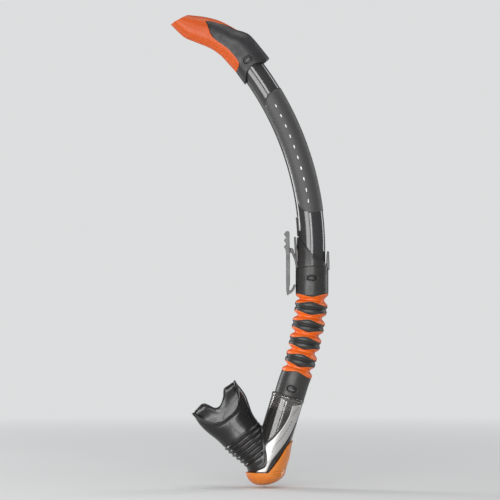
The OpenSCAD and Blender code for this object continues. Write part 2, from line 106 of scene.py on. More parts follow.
class Place:
    """A frame turned by lean about -Y: its +Z leans towards -X by that many degrees."""

    def __init__(self, origin, lean):
        self.origin = np.asarray(origin, float)
        turn = math.radians(lean)
        self.x_axis = np.array([math.cos(turn), 0, math.sin(turn)])
        self.z_axis = np.array([-math.sin(turn), 0, math.cos(turn)])

    def out(self, x, y, z):
        """Points of this frame as row-frame points, in millimetres."""
        x, y, z = np.broadcast_arrays(np.asarray(x, float), y, z)
        flat = x[..., None] * self.x_axis + z[..., None] * self.z_axis
        flat[..., 1] = flat[..., 1] + y
        return self.origin + flat

    def ring(self, r, angle, z, back=0.0):
        """Points round this frame's axis, moved back along its X."""
        return self.out(r * np.cos(angle) - back, r * np.sin(angle), z)

    def into(self, points):
        """Row-frame points as coordinates of this frame."""
        d = np.asarray(points, float) - self.origin
        return d @ self.x_axis, d[..., 1], d @ self.z_axis


def new_object(name, data):
    obj = bpy.data.objects.new(name, data)
    bpy.context.scene.collection.objects.link(obj)
    return obj


def add_object(name, vertices, faces, material):
    """A smooth mesh object from millimetre points, with its faces turned outwards."""
    mesh = bpy.data.meshes.new(name)
    mesh.from_pydata((np.asarray(vertices) * MM).tolist(), [], faces)
    work = bmesh.new()
    work.from_mesh(mesh)
    bmesh.ops.recalc_face_normals(work, faces=work.faces)
    work.to_mesh(mesh)
    work.free()
    mesh.polygons.foreach_set("use_smooth", [True] * len(mesh.polygons))
    mesh.materials.append(material)
    return new_object(name, mesh)


def skin(name, rings, material, loop=True):
    """Skin over closed rings. With loop the last ring joins the first, otherwise both ends are capped."""
    rings = np.asarray(rings, float)
    rows, columns = rings.shape[:2]
    faces = []
    for i in range(rows if loop else rows - 1):
        for j in range(columns):
            a, b = i * columns, ((i + 1) % rows) * columns
            nxt = (j + 1) % columns
            faces.append((a + j, a + nxt, b + nxt, b + j))
    if not loop:
        faces.append(tuple(range(columns)))
        faces.append(tuple((rows - 1) * columns + j for j in range(columns)))
    return add_object(name, rings.reshape(-1, 3), faces, material)


def paint(obj, name, values):
    """Stores one number per vertex, for the material to read."""
    layer = obj.data.attributes.new(name, "FLOAT", "POINT")
    layer.data.foreach_set("value", np.asarray(values, np.float32).ravel())


def round_edges(obj, width, segments=3, angle=35):
    """Bevels the object's sharp edges, in millimetres, and applies the bevel."""
    bevel = obj.modifiers.new("round", "BEVEL")
    bevel.width = width * MM
    bevel.segments = segments
    bevel.limit_method = "ANGLE"
    bevel.angle_limit = math.radians(angle)
    tidy = obj.modifiers.new("shade", "WEIGHTED_NORMAL")
    tidy.keep_sharp = True
    bpy.context.view_layer.update()
    graph = bpy.context.evaluated_depsgraph_get()
    done = bpy.data.meshes.new_from_object(obj.evaluated_get(graph))
    obj.modifiers.clear()
    obj.data = done
    return obj


def slab(name, outline, y_from, y_to, material, bevel):
    """A side-view outline in the x-z plane, extruded from y_from to y_to, with rounded edges."""
    outline = np.asarray(outline, float)
    count = len(outline)
    near = np.column_stack([outline[:, 0], np.full(count, y_from), outline[:, 1]])
    far = near.copy()
    far[:, 1] = y_to
    faces = [tuple(range(count)), tuple(range(2 * count - 1, count - 1, -1))]
    faces += [(i, (i + 1) % count, count + (i + 1) % count, count + i) for i in range(count)]
    obj = add_object(name, np.vstack([near, far]), faces, material)
    return round_edges(obj, bevel)


def join(name, parts):
    """Makes one object of several that share a material."""
    bpy.ops.object.select_all(action="DESELECT")
    for part in parts:
        part.select_set(True)
    bpy.context.view_layer.objects.active = parts[0]
    bpy.ops.object.join()
    parts[0].name = name
    return parts[0]


def finish_piece(obj, body, slot, *nodes):
    """Puts a piece on its body; nodes are the CAD nodes that it stands for."""
    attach(obj, body)
    if nodes:
        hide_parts(*nodes)


def finish_soft(obj, node):
    """Bakes the piece's placement into its mesh and hides the CAD node that it stands for."""
    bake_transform(obj)
    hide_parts(node)


# ---- materials

class Look:
    """A principled material that its helpers add procedural detail to."""

    def __init__(self, name, color, roughness, **settings):
        self.material = bpy.data.materials.new(name)
        self.material.use_nodes = True
        self.nodes = self.material.node_tree.nodes
        self.links = self.material.node_tree.links
        self.shader = self.nodes["Principled BSDF"]
        self.fill(self.shader, Base_Color=(*color, 1), Roughness=roughness, **settings)
        self.coords = self.add("TexCoord")
        self.normal = None

    def fill(self, node, **settings):
        """Gives inputs their values, or links them to sockets; an underscore stands for a space."""
        for key, value in settings.items():
            socket = node.inputs[key.replace("_", " ")]
            if isinstance(value, bpy.types.NodeSocket):
                self.links.new(value, socket)
            else:
                socket.default_value = value
        return node

    def add(self, kind, **settings):
        return self.fill(self.nodes.new("ShaderNode" + kind), **settings)

    def noise(self, scale, detail=4.0, stretch=(1, 1, 1)):
        mapping = self.add("Mapping", Vector=self.coords.outputs["Object"], Scale=stretch)
        texture = self.add("TexNoise", Vector=mapping.outputs["Vector"], Scale=scale, Detail=detail)
        return texture.outputs["Fac"]

    def ramp(self, source, low, high, start=0.35, end=0.65):
        """Spreads the part of source between start and end over low to high."""
        node = self.add("MapRange", Value=source, From_Min=start, From_Max=end, To_Min=low, To_Max=high)
        return node.outputs["Result"]

    def painted(self, name):
        """The number that paint stored under this name."""
        node = self.add("Attribute")
        node.attribute_name = name
        return node.outputs["Fac"]

    def times(self, a, b):
        node = self.add("Math")
        node.operation = "MULTIPLY"
        self.links.new(a, node.inputs[0])
        self.links.new(b, node.inputs[1])
        return node.outputs["Value"]

    def tint(self, factor, color):
        """Mixes the base colour towards color where factor is high."""
        base = self.shader.inputs["Base Color"]
        under = base.links[0].from_socket if base.is_linked else base.default_value
        mix = self.add("Mix")
        mix.data_type = "RGBA"
        self.fill(mix, A=under, B=(*color, 1), Factor=factor)
        self.fill(self.shader, Base_Color=mix.outputs["Result"])

    def vary(self, key, scale, low, high, stretch=(1, 1, 1)):
        """Lets one shader input wander between low and high."""
        self.fill(self.shader, **{key: self.ramp(self.noise(scale, 5.0, stretch), low, high)})
        return self

    def stain(self, scale, detail, amount, color):
        """Patches of another colour."""
        self.tint(self.ramp(self.noise(scale, detail), 0, amount), color)

    def grain(self, scale, detail, depth, strength, stretch=(1, 1, 1)):
        """A fine uneven surface."""
        self.bump(self.noise(scale, detail, stretch), depth, strength)

    def bump(self, height, depth, strength):
        """Lays a bump, its depth in millimetres, over those laid before it."""
        node = self.add("Bump", Height=height, Distance=depth * MM, Strength=strength)
        if self.normal:
            self.fill(node, Normal=self.normal)
        self.normal = node.outputs["Normal"]
        self.fill(self.shader, Normal=self.normal)

    def wear(self, color, amount=0.5):
        """Lightens the convex edges, as handling does."""
        edge = self.ramp(self.add("NewGeometry").outputs["Pointiness"], 0, amount, 0.52, 0.6)
        self.tint(edge, color)


def rubber(name, color, roughness, grain=900, depth=0.05):
    """Satin rubber or plastic, with painted shade that darkens it where the sunk attribute says how deep a
    recess lies.
    """
    look = Look(name, color, roughness, Specular_IOR_Level=0.42)
    look.vary("Roughness", 160, roughness - 0.06, roughness + 0.08)
    look.stain(55, 4, 0.35, [c * 1.5 + 0.004 for c in color])
    look.grain(grain, 2, depth, 0.35)
    look.wear([c * 2.2 + 0.01 for c in color], 0.35)
    # painted shade: a near-black tint that deepens with the recess depth stored as sunk
    look.tint(look.ramp(look.painted("sunk"), 0, 0.85, 0.5, 1.5), (0.003, 0.003, 0.003))
    return look


def barrel_look():
    """Glossy tube whose panel attribute turns it into a matte, finely grained surface."""
    look = Look("barrel_grey", (0.030, 0.029, 0.030), 0.2, Coat_Weight=0.35, Coat_Roughness=0.12)
    panel = look.ramp(look.painted("panel"), 0, 1)
    look.tint(panel, (0.056, 0.054, 0.055))
    look.tint(look.ramp(look.noise(30, 6, (1, 1, 0.3)), 0, 0.25), (0.065, 0.063, 0.065))
    rough, coat = look.ramp(panel, 0.17, 0.52, 0, 1), look.ramp(panel, 0.4, 0.0, 0, 1)
    look.fill(look.shader, Roughness=rough, Coat_Weight=coat)
    look.bump(look.times(look.noise(1500, 2), panel), 0.09, 0.6)
    look.grain(70, 2, 0.05, 0.2)
    return look


def clear_look(name, color, roughness, transmission, haze, coat=0.5):
    """See-through plastic or silicone, paler where the pale attribute says so: on the chamber that is a
    painted lightening of its top band, which lets the plug's painted rib highlights show through.
    """
    look = Look(name, color, roughness, Transmission_Weight=transmission, IOR=1.46,
                Coat_Weight=coat, Coat_Roughness=0.05)
    look.vary("Roughness", 90, roughness, roughness + 0.06)
    look.stain(40, 5, haze, [c * 1.4 + 0.003 for c in color])
    # painted lightening of the chamber's top band, where the pale attribute is set
    look.tint(look.painted("pale"), (0.29, 0.27, 0.25))
    look.grain(60, 2, 0.04, 0.15)
    return look


def silver_look():
    look = Look("trim_silver", (0.47, 0.46, 0.45), 0.34, Metallic=0.45)
    look.vary("Roughness", 260, 0.3, 0.44, (1, 1, 0.08))
    look.stain(35, 4, 0.25, (0.5, 0.5, 0.5))
    look.grain(1300, 2, 0.03, 0.3, (1, 1, 0.05))
    return look


def hood_look():
    look = Look("hood_orange", (0.56, 0.080, 0.006), 0.45, Specular_IOR_Level=0.35,
                Subsurface_Weight=0.08, Subsurface_Scale=0.002)
    look.vary("Roughness", 120, 0.36, 0.5)
    look.stain(26, 5, 0.5, (0.64, 0.105, 0.01))
    look.grain(1100, 2, 0.05, 0.35)
    return look


def web_look():
    look = Look("web_orange", (0.72, 0.12, 0.008), 0.38, Subsurface_Weight=0.1, Subsurface_Scale=0.002)
    look.vary("Roughness", 140, 0.3, 0.46)
    look.stain(60, 5, 0.5, (0.85, 0.17, 0.02))
    look.grain(900, 2, 0.05, 0.3)
    look.wear((0.95, 0.4, 0.2), 0.4)
    return look


def amber_look():
    look = Look("cover_amber", (0.90, 0.24, 0.014), 0.16, Transmission_Weight=0.3, IOR=1.46,
                Subsurface_Weight=0.25, Subsurface_Scale=0.003, Coat_Weight=0.4, Coat_Roughness=0.06)
    look.vary("Roughness", 80, 0.13, 0.26)
    look.stain(45, 5, 0.6, (0.95, 0.34, 0.05))
    look.grain(150, 3, 0.1, 0.3)
    return look


BARREL = barrel_look().material
COLLAR = rubber("rubber_dark", (0.022, 0.021, 0.0225), 0.42).material
KEEPER = rubber("keeper_dark", (0.027, 0.0255, 0.0245), 0.3, 600, 0.03).material
LEVER = rubber("lever_grey", (0.07, 0.068, 0.068), 0.34, 700, 0.03).material
CUFF = rubber("cuff_grey", (0.030, 0.029, 0.028), 0.36).material
INNER = rubber("inner_dark", (0.02, 0.02, 0.021), 0.5).material
HOOD = hood_look().material
WEB = web_look().material
SMOKE = clear_look("chamber_smoke", (0.11, 0.099, 0.092), 0.05, 0.85, 0.15).material
SILICONE = clear_look("silicone_smoke", (0.012, 0.011, 0.011), 0.23, 0.08, 0.4, 0.15).material
# a pale copy of the dark cuff rubber: painted highlight on the plug's ribs seen through the chamber
PLUG_HIGHLIGHT = rubber("plug_painted_highlight", (0.62, 0.61, 0.60), 0.2, 500, 0.02).material
SILVER = silver_look().material
AMBER = amber_look().material
STEEL = Look("pin_steel", (0.16, 0.16, 0.16), 0.4, Metallic=0.8).vary("Roughness", 300, 0.32, 0.5).material


# ---- the object's layout, in millimetres

BEND_R = 285.0  # radius of the barrel's centre line
BEND_START = 20.4  # height where the barrel's bend starts
BARREL_FOOT = -16.0
GUARD_ANGLE = 38  # bend angle of the splash guard's frame
HOSE_LEAN = 17  # lean of the chamber's axis
PORT_LEAN = 38  # lean of the mouthpiece's axis
PORT_FOOT = (-20.5, 0, -186.7)
CUFF_R = 15.6
CHAMBER_R = 15.4
CHAMBER_TOP = -28.5  # from the last groove to the chamber's top edge
CHAMBER_SHIFT = -1.4
AIR_BORE = 9.6  # radius of the air path in the hose
GAP = 0.12  # visible seam between two mouldings
SIDES = ((-1, "front"), (1, "back"))

grooves = [mm(joints[f"flex_{k}"]["pos_m"]) for k in range(1, 6)]
barrel_x = grooves[0][0]
pitch = float(np.linalg.norm(grooves[1] - grooves[0]))
rim_z = mm(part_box("drain_chamber")[0])[2]
leans = [0.0]
for upper, lower in zip(grooves, grooves[1:]):
    leans.append(math.degrees(math.atan2(upper[0] - lower[0], upper[2] - lower[2])))
leans.append(HOSE_LEAN)

bend_centre = np.array([barrel_x - BEND_R, 0, BEND_START])
guard_turn = math.radians(GUARD_ANGLE)
guard = Place(bend_centre + BEND_R * np.array([math.cos(guard_turn), 0, math.sin(guard_turn)]), GUARD_ANGLE)
hose_end = Place(grooves[4], -HOSE_LEAN)
chamber = Place(hose_end.out(CHAMBER_SHIFT, 0, CHAMBER_TOP), -HOSE_LEAN)
port = Place(PORT_FOOT, PORT_LEAN)
stem = Place((barrel_x, 0, 0), 0)  # the barrel's straight part


def turn(columns):
    return np.linspace(0, 2 * math.pi, columns, endpoint=False)


def signed(angle):
    """The angle brought between minus and plus half a turn."""
    return (angle + math.pi) % (2 * math.pi) - math.pi


def pill(name, surface, half_u, half_v, height, material, power=2.6):
    """Small raised oval on a surface(u, v, lift), rooted a little way below it."""
    c, s = oval(turn(28), power)
    steps = [(0.04, 1.0), (0.55, 1.0), (0.82, 0.92), (0.95, 0.6), (1.0, 0.0), (1.0, -2.5)]
    rings = [surface(scale * half_u * c, scale * half_v * s, height * up) for scale, up in steps]
    return skin(name, rings, material, loop=False)


def last_inside(low, high, inside):
    """Per column, the height between low and high up to which inside(z) is true, found by halving."""
    for _ in range(30):
        z = (low + high) / 2
        within = inside(z)
        low, high = np.where(within, z, low), np.where(within, high, z)
    return low


def recess(across, up, half_across, half_up, depth):
    """How far an oval window sinks at a place given from its centre."""
    reach = np.sqrt((across / half_across) ** 2 + (up / half_up) ** 2)
    lip = 0.12 * np.exp(-((reach - 1.28) / 0.16) ** 2)
    return depth * smooth(1.1, 0.88, reach) - lip


# ---- barrel

STRAIGHT = BEND_START - BARREL_FOOT
BARREL_LENGTH = STRAIGHT + BEND_R * math.radians(39.8)
BARREL_RADII = (12.75, 11.95)  # at the foot and at the top
BARREL_WALL = 1.6
PANEL = (7.0, 31.0)  # where the matte panel starts and ends, in degrees of bend
PANEL_LIFT = 0.45
RAIL = (2.6, 6.4)  # the rib above the keeper's tongue, in degrees of bend
RAIL_LIFT = 1.3
MARKS = 10  # dashes along each side of the panel
MARK_SPAN = (9.2, 28.4)  # from the first dash to the last, in degrees of bend


def barrel_point(s, angle, lift):
    """A point s along the barrel; angle 0 is the outside of the bend."""
    bend = np.maximum(0, s - STRAIGHT) / BEND_R
    drop = np.minimum(0, s - STRAIGHT)
    r = np.interp(s, [0, BARREL_LENGTH], BARREL_RADII) + lift
    out = BEND_R + r * np.cos(angle)
    x = bend_centre[0] + out * np.cos(bend)
    z = bend_centre[2] + out * np.sin(bend) + drop
    return np.stack(np.broadcast_arrays(x, r * np.sin(angle), z), -1)


def at_bend(degrees):
    """Distance along the barrel to a place on its bend."""
    return STRAIGHT + BEND_R * np.radians(degrees)


def panel_mask(s, angle):
    """1 on the matte panel, a rounded field that wraps all but the inside of the bend."""
    start, end = at_bend(PANEL[0]), at_bend(PANEL[1])
    corner = 15.0
    half_length, half_width = (end - start) / 2, 31.0
    a = np.abs(s - (start + end) / 2) - half_length + corner
    b = np.abs(signed(angle)) * BARREL_RADII[0] - half_width + corner
    outside = np.hypot(np.maximum(a, 0), np.maximum(b, 0)) + np.minimum(np.maximum(a, b), 0) - corner
    return smooth(0.35, -0.35, outside)


def rail_mask(s, angle):
    """1 on the rib above the keeper's tongue, on the inside of the bend."""
    across = np.abs(signed(angle - math.pi)) * BARREL_RADII[0]
    start, end = at_bend(RAIL[0]), at_bend(RAIL[1])
    return smooth(4.0, 3.2, across) * smooth(start - 0.5, start + 0.4, s) * smooth(end + 0.8, end - 0.8, s)


def build_barrel():
    angle = turn(128)[None, :]
    s = np.linspace(0, BARREL_LENGTH, 340)[:, None]
    panel = panel_mask(s, angle)
    outer = barrel_point(s, angle, PANEL_LIFT * panel + RAIL_LIFT * rail_mask(s, angle))
    s_in = np.linspace(BARREL_LENGTH, 0, 30)[:, None]
    inner = barrel_point(s_in, angle, -BARREL_WALL)
    barrel = skin("barrel_tube", np.concatenate([outer, inner]), BARREL)
    paint(barrel, "panel", np.concatenate([panel, 0 * inner[..., 0]]))
    finish_piece(barrel, "barrel", "barrel_grey", "barrel")
    for side, name in SIDES:
        marks = []
        for s0 in at_bend(np.linspace(*MARK_SPAN, MARKS)):
            def surface(u, v, lift, s0=s0, facing=side * math.pi / 2):
                return barrel_point(s0 + u, facing + v / BARREL_RADII[0], lift + PANEL_LIFT)
            marks.append(pill("mark", surface, 1.8, 0.62, 0.12, SILVER))
        finish_piece(join(f"panel_marks_{name}", marks), "barrel", "trim_silver")


# ---- splash guard

# Stations along the guard, in its own frame: [station, back x, back z, belly x, belly z, half depth]
STATIONS = np.array([
    [-14, 19.0, -14, -14.5, -14, 14.6], [-6, 19.2, -5, -14.2, -6, 14.7], [4, 19.1, 5, -14.0, 3, 14.7],
    [14, 18.9, 14, -14.6, 12, 14.6], [20, 18.0, 21.8, -15.2, 20.5, 14.4], [25, 15.2, 27.4, -16.4, 26.4, 14.3],
    [31, 11.4, 32.9, -18.2, 32, 14.1], [38, 8.3, 40.4, -21.2, 38.2, 14.0], [48, 3.2, 50.4, -27.3, 48.6, 13.6],
    [58, -5.0, 61.0, -32.4, 58.4, 13.0], [72, -16.3, 72.1, -34.9, 75.2, 11.6]])
# The flame-shaped edge of the collar on the hood: [degrees from the back, station]
FLAME = np.array([[0, 28], [16, 31], [25, 38], [40, 45.5], [46, 52], [51, 54.2], [60, 53], [80, 48],
                  [100, 41], [108.6, 35], [113, 26], [115, 18], [118, 9], [128, 5], [158, 2.3], [180, 1.8]])
HALF_COLUMNS = 230
GUARD_LUG = (1.8, 3.3, -2)  # window's place and lean in the guard's frame
GUARD_WINDOW = (4.7, 2.8, 1.7)  # its half width, half height and depth
LUG_REACH = 13.4  # distance of the lug's foot from the middle plane
COLLAR_WALL = 1.35


def guard_point(station, angle, inset):
    """The guard's skin at a station; angle 0 is its back."""
    t = np.interp(station, STATIONS[:, 0], np.linspace(0, 1, len(STATIONS)))
    value = along(STATIONS[:, 1:], t)
    back, belly, depth = value[..., 0:2], value[..., 2:4], value[..., 4]
    middle, half = (back + belly) / 2, (back - belly) / 2
    c, s = oval(angle, 2.25)
    reach = c * (1 - inset / np.linalg.norm(half, axis=-1))
    x = middle[..., 0] + half[..., 0] * reach
    z = middle[..., 1] + half[..., 1] * reach
    return guard.out(x, (depth - inset) * s, z)


def flame_columns():
    """Angles and stations spaced evenly along the flame edge, round both sides."""
    fine = along(FLAME, np.linspace(0, 1, 1500))
    fine[:, 0] = np.maximum.accumulate(fine[:, 0])
    step = np.hypot(np.diff(fine[:, 0]) * 0.25, np.diff(fine[:, 1]))
    place = np.concatenate([[0], np.cumsum(step)])
    even = np.linspace(0, place[-1], HALF_COLUMNS)
    degrees = np.interp(even, place, fine[:, 0])
    station = np.interp(even, place, fine[:, 1])
    angle = np.radians(np.concatenate([degrees, -degrees[-2:0:-1]]))
    return angle, np.concatenate([station, station[-2:0:-1]])


def collar_foot(angle):
    """Station of the collar's lower edge: it dips at the belly and a little at the back."""
    c = np.cos(angle)
    return -4.1 - 8.8 * np.maximum(0, -c) ** 2.2 - 4.3 * smooth(0, 0.7, c)


def edge_rows(start, end, count, rounding, into=0.45):
    """Rows from start to end whose last millimetre or so at both ends rolls inwards."""
    span = end - start
    sign = np.sign(np.median(span))
    lips = [(0.0, into), (0.12 * rounding, 0.45 * into), (0.4 * rounding, 0.14 * into), (rounding, 0.0)]
    rows = [(start + sign * d, inset) for d, inset in lips]
    inner_start, inner_end = start + sign * rounding, end - sign * rounding
    rows += [(inner_start + (inner_end - inner_start) * t, 0.0) for t in np.linspace(0, 1, count)[1:-1]]
    rows += [(end - sign * d, inset) for d, inset in reversed(lips)]
    return rows


def guard_window(points):
    """Oval windows in the collar's two flanks, as extra inset."""
    x, y, z = guard.into(points)
    lean = math.radians(GUARD_LUG[2])
    dx, dz = x - GUARD_LUG[0], z - GUARD_LUG[1]
    across = dx * math.cos(lean) - dz * math.sin(lean)
    up = dx * math.sin(lean) + dz * math.cos(lean)
    return recess(across, up, *GUARD_WINDOW)


def build_guard():
    angle, flame = flame_columns()
    foot = collar_foot(angle)
    outer, shade = [], []
    for station, inset in edge_rows(foot, flame - GAP, 120, 0.8):
        sunk = guard_window(guard_point(station, angle, 0.0))
        shade.append(sunk)
        outer.append(guard_point(station, angle, inset + sunk))
    top = flame - GAP
    inner = [guard_point(top + (foot - top) * t, angle, COLLAR_WALL) for t in np.linspace(0, 1, 16)]
    collar = skin("hood_collar_shell", outer + inner, COLLAR)
    # the window depth stored as sunk becomes painted shade in the window recesses
    paint(collar, "sunk", shade + [0 * angle] * len(inner))
    finish_piece(collar, "barrel", "rubber_dark", "hood_collar")

    tip = STATIONS[-1, 0]
    crease = np.exp(-((np.abs(angle) - math.radians(146)) / math.radians(8)) ** 2)
    outer = []
    for station, inset in edge_rows(flame + GAP, tip, 90, 0.7):
        shown = smooth(12, 22, station) * smooth(70, 58, station)
        outer.append(guard_point(station, angle, inset + 0.4 * crease * shown))
    inner = []
    for t in np.linspace(0, 1, 40):
        station = tip + (flame + GAP - tip) * t
        inner.append(guard_point(station, angle, 1.0 + 0.9 * smooth(24, 50, station)))
    hood = skin("splash_hood_shell", outer + inner, HOOD)
    finish_piece(hood, "barrel", "hood_orange", "splash_hood")

    for side, name in SIDES:
        def surface(u, v, lift, side=side):
            lean = math.radians(GUARD_LUG[2])
            x = GUARD_LUG[0] + u * math.cos(lean) + v * math.sin(lean)
            z = GUARD_LUG[1] - u * math.sin(lean) + v * math.cos(lean)
            return guard.out(x, side * (LUG_REACH + lift), z)
        lug = pill(f"guard_lug_{name}", surface, 3.3, 1.6, 0.8, KEEPER)
        finish_piece(lug, "barrel", "rubber_dark")


# ---- strap keeper

WAVE_R = 39.5  # radius of the saddle between keeper sleeve and cuff
WAVE_Z = 1.0
KEEPER_BORE = 12.55
LEVER_HALF = 7.5  # half the lever's width
EAR = 2.4  # width of each hinge ear
KNUCKLE_R = 1.9
PIN_R = 0.98
hinge = mm(joints["keeper_open"]["pos_m"])


def wave(y, gap):
    """Height of the wavy seam between the keeper sleeve and the upper cuff."""
    return WAVE_Z + WAVE_R - np.sqrt(WAVE_R ** 2 - y ** 2) + gap


def sleeve_top(x):
    """Height of the sleeve's slanting upper edge, which flattens past the middle."""
    t = x - barrel_x
    return 15.3 - 0.83 * t + 0.21 * np.sqrt(t * t + 3)


def upright_shell(name, top, bottom, radius, inner_radius, rows, material, sink, columns=256):
    """Sleeve round the barrel's axis between two edges given per column."""
    angle = turn(columns)
    middle = (top + bottom) / 2
    rings, shade = [], []
    for z, inset in edge_rows(top, bottom, rows, 0.6, 0.35):
        sunk = sink(angle, z)
        r = radius(z) - inset - sunk
        shade.append(sunk)
        rings.append(stem.ring(r, angle, z))
    for t in np.linspace(1, 0, 8):
        z = middle + (top - middle) * (1 - 2 * t)
        rings.append(stem.ring(inner_radius, angle, z))
        shade.append(0 * angle)
    shell = skin(name, rings, material)
    # the sink depth stored as sunk becomes painted shade in the cuff's windows, and a slight painted shade
    # under the keeper's ledge
    paint(shell, "sunk", shade)
    return shell


def arc_points(centre, radius, start, end, count):
    turn_to = np.radians(np.linspace(start, end, count))
    return [(centre[0] + radius * math.cos(a), centre[1] + radius * math.sin(a)) for a in turn_to]


def build_keeper():
    angle = turn(256)
    x, y = barrel_x + CUFF_R * np.cos(angle), CUFF_R * np.sin(angle)

    def ledge(a, z):
        """The sleeve's far half steps in a little below its slanting edge."""
        below = sleeve_top(barrel_x + CUFF_R * np.cos(a)) - 3.2
        return 0.6 * smooth(0, 0.6, z - below) * smooth(0, 0.3, np.cos(a))
    foot = wave(y, GAP) - 1.1 * smooth(0.3, 1, np.cos(angle))
    sleeve = upright_shell("keeper_sleeve_shell", sleeve_top(x), foot,
                           lambda z: CUFF_R - 1.3 * smooth(2, 27, z), KEEPER_BORE, 90, KEEPER, ledge)
    plate = [(3.9, 31.0), (4.2, 31.9), (5.2, 32.2), (5.8, 31.5), (6.4, 24), (7.8, 17), (7.8, 2.2),
             (5.9, 2.2), (5.1, 11)]
    tab = [(34.6, 0.9), (37.3, 0.3), (37.5, 1.2), (37.5, 8), (37.1, 17.6), (36.4, 18.5), (35.5, 18.2),
           (34.9, 15), (34.7, 8)]
    parts = [sleeve, slab("keeper_tongue", plate, -6.5, 6.5, KEEPER, 0.4),
             slab("keeper_far_tab", tab, -5, 5, KEEPER, 0.4)]
    ear = arc_points((hinge[0], hinge[2]), KNUCKLE_R, 200, 30, 12)
    ear += [(4.6, 15.6), (6.5, 9.5), (7.4, 4.2), (7.4, 2.6), (5.9, 2.6), (4.5, 9.6), (2.2, 15.4)]
    for side in (-1, 1):
        near, far = sorted((side * LEVER_HALF, side * (LEVER_HALF - EAR)))
        parts.append(slab(f"keeper_ear_{near:.0f}", ear, near, far, KEEPER, 0.35))
    finish_piece(join("keeper_sleeve_body", parts), "barrel", "rubber_dark", "keeper_sleeve")

    teeth = []
    for peak in (34.3, 28.3, 22.1):
        teeth += [(-3.5, peak + 3.0), (-4.7, peak + 1.7), (-5.5, peak + 0.6), (-5.5, peak - 0.3),
                  (-4.4, peak - 1.4)]
    hook = [(-0.9, -19.2), (0.4, -18.9), (1.6, -17.8), (2.7, -16.0), (3.5, -13.8), (4.1, -13.1), (4.9, -13.2),
            (5.3, -13.9), (4.9, -16.0), (3.9, -18.3), (2.5, -20.2), (0.8, -21.6), (-0.9, -22.3)]
    outline = [(-2.2, 37.4), (-1.2, 37.5), (-0.4, 35.8), (-0.3, 24), (0, 13), (0, -13), (-0.4, -15)] + hook
    outline += [(-1.4, -23.4), (-2.7, -23.4), (-3.3, -20), (-3.6, -10), (-3.6, 17)]
    outline += list(reversed(teeth))
    lever = slab("keeper_lever_body", outline, -LEVER_HALF, LEVER_HALF, LEVER, 0.32)
    knuckle_half = LEVER_HALF - EAR - 0.2
    outline = arc_points((hinge[0], hinge[2]), KNUCKLE_R, -90, 90, 12)
    outline += [(-0.6, hinge[2] + 2.6), (-0.6, hinge[2] - 2.6)]
    knuckle = slab("keeper_knuckle", outline, -knuckle_half, knuckle_half, LEVER, 0.3)
    finish_piece(join("keeper_lever_clip", [lever, knuckle]), "lever", "lever_grey", "keeper_lever")

    axle = Place((hinge[0], 0, hinge[2]), 0)
    half = LEVER_HALF + 0.05
    profile = [(0.05, -half), (0.7, -half), (PIN_R, -half + 0.3), (PIN_R, half - 0.3), (0.7, half),
               (0.05, half)]
    around = turn(32)[None, :]
    r, reach = np.array(profile).T[..., None]
    rings = axle.out(r * np.cos(around), reach, r * np.sin(around))
    pin = skin("keeper_hinge_pin", rings, STEEL, loop=False)
    finish_piece(pin, "barrel", "pin_steel", "keeper_pin")


# ---- corrugated hose

WEB_SIDE = 5.2  # half the orange web's height at its sides
WEB_FRONT = 2.3  # and at its front and back
WEB_BEND = 2.9  # reach of the soft bend on each side of a groove
HOSE_WALL = 2.0
GROOVE_STEPS = (0, 0.6, 1.6, 2.8, 3.9, 4.9, 6.0, 7.1, 8.25)
GROOVE_RADII = (11.7, 11.85, 12.9, 14.4, 15.3, 15.55, 15.5, 15.25, 15.1)
EDGE_SHIFT = (0.3, -0.4, -0.4, -0.8, -1.5)  # how far each web sits above its groove


def groove_radius(distance):
    """Outer radius at a distance from the nearest deep groove."""
    t = np.interp(distance, GROOVE_STEPS, np.linspace(0, 1, len(GROOVE_STEPS)))
    return along(np.array(GROOVE_RADII)[:, None], t)[..., 0]


def ring_radius(z):
    """Outer radius of a ring, with a notch in its middle that is deepest at front and back."""
    distance = np.minimum(-z, pitch + z)
    front = np.sin(turn(len(z))) ** 2
    return groove_radius(distance) - (0.6 + 1.1 * front) * smooth(6.4, 8.1, distance)


def taper(level):
    """The hose slims a little; level counts the pitches below the first groove."""
    return 1 - 0.05 * smooth(0.8, 4.2, level)


def web_edge(angle):
    """Half the web's height: wide at the sides, narrow at front and back."""
    return WEB_FRONT + (WEB_SIDE - WEB_FRONT) * smooth(0, 0.95, np.abs(np.cos(angle)))


def hose_rings(start, end, rows, radius, place_of, into=0.3):
    """Closed shell rows between two edges that run round the hose."""
    angle = turn(len(start))
    rings = []
    for z, inset in edge_rows(start, end, rows, 0.5, into):
        r = radius(z) - inset
        rings.append(place_of(r * np.cos(angle), r * np.sin(angle), z))
    for t in np.linspace(1, 0, 10):
        z = start + (end - start) * t
        r = radius(z) - HOSE_WALL
        rings.append(place_of(r * np.cos(angle), r * np.sin(angle), z))
    return rings


